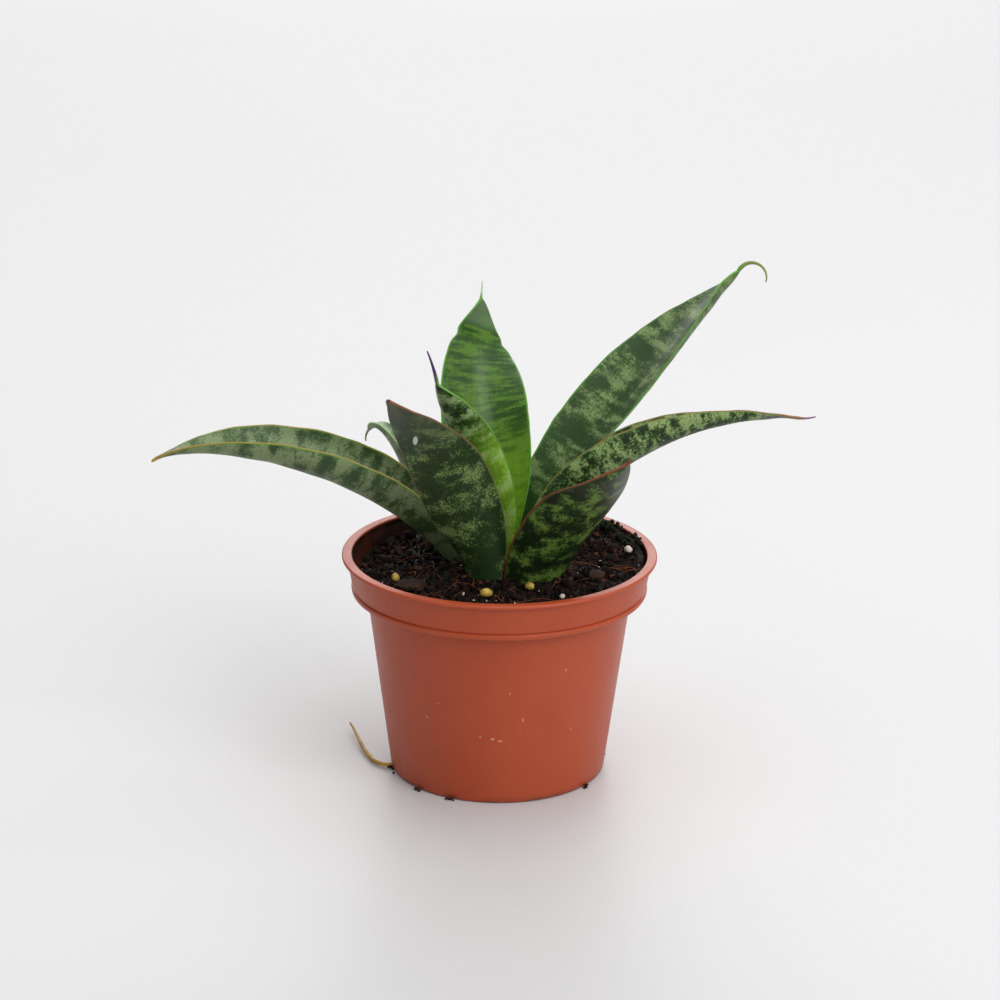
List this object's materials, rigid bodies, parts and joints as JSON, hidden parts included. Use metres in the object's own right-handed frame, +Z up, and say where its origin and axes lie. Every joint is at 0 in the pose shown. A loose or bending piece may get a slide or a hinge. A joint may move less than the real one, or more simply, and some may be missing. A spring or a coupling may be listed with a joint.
{
  "type": "potted snake plant",
  "caption": "Small potted snake plant: stiff, channelled, banded leaves in a loose rosette, in a round tapered nursery pot with a deep collar.",
  "frame": {"origin": "centre of the pot's flat underside, on the surface the pot stands on", "axes": "+Z up along the pot's axis, +X towards the tip of the right arching leaf, -Y towards the side the short front leaves stand on"},
  "size_m": [0.1248, 0.0796, 0.0933],
  "materials": {
    "pot_plastic": "satin, injection moulded",
    "peat": "dull, fibrous",
    "rhizome": "dull",
    "leaf_young": "satin, waxy",
    "leaf_bright": "satin, waxy",
    "leaf_banded": "satin, waxy",
    "leaf_dark": "satin, waxy",
    "root": "dull",
    "fertiliser": "satin coated",
    "perlite": "dull, porous",
    "bark": "dull"
  },
  "bodies": {
    "root": {"pot": "pot_plastic", "soil": "peat", "rhizome": "rhizome", "leaf_spear": "leaf_young", "leaf_back_upright": "leaf_bright", "leaf_back_right": "leaf_banded", "leaf_right_arching": "leaf_banded", "leaf_front_right": "leaf_dark", "leaf_front_left": "leaf_dark", "leaf_left_arching": "leaf_banded", "leaf_back_left": "leaf_banded", "root_1": "root", "root_2": "root", "root_3": "root", "root_4": "root", "escaped_root": "root", "fertiliser_prill_front": "fertiliser", "fertiliser_prill_right": "fertiliser", "fertiliser_prill_left": "fertiliser", "perlite_grain_right": "perlite", "perlite_grain_front": "perlite", "perlite_grain_left": "perlite", "bark_chip_left": "bark", "bark_chip_right": "bark", "bark_chip_back": "bark"}
  },
  "joints": []
}
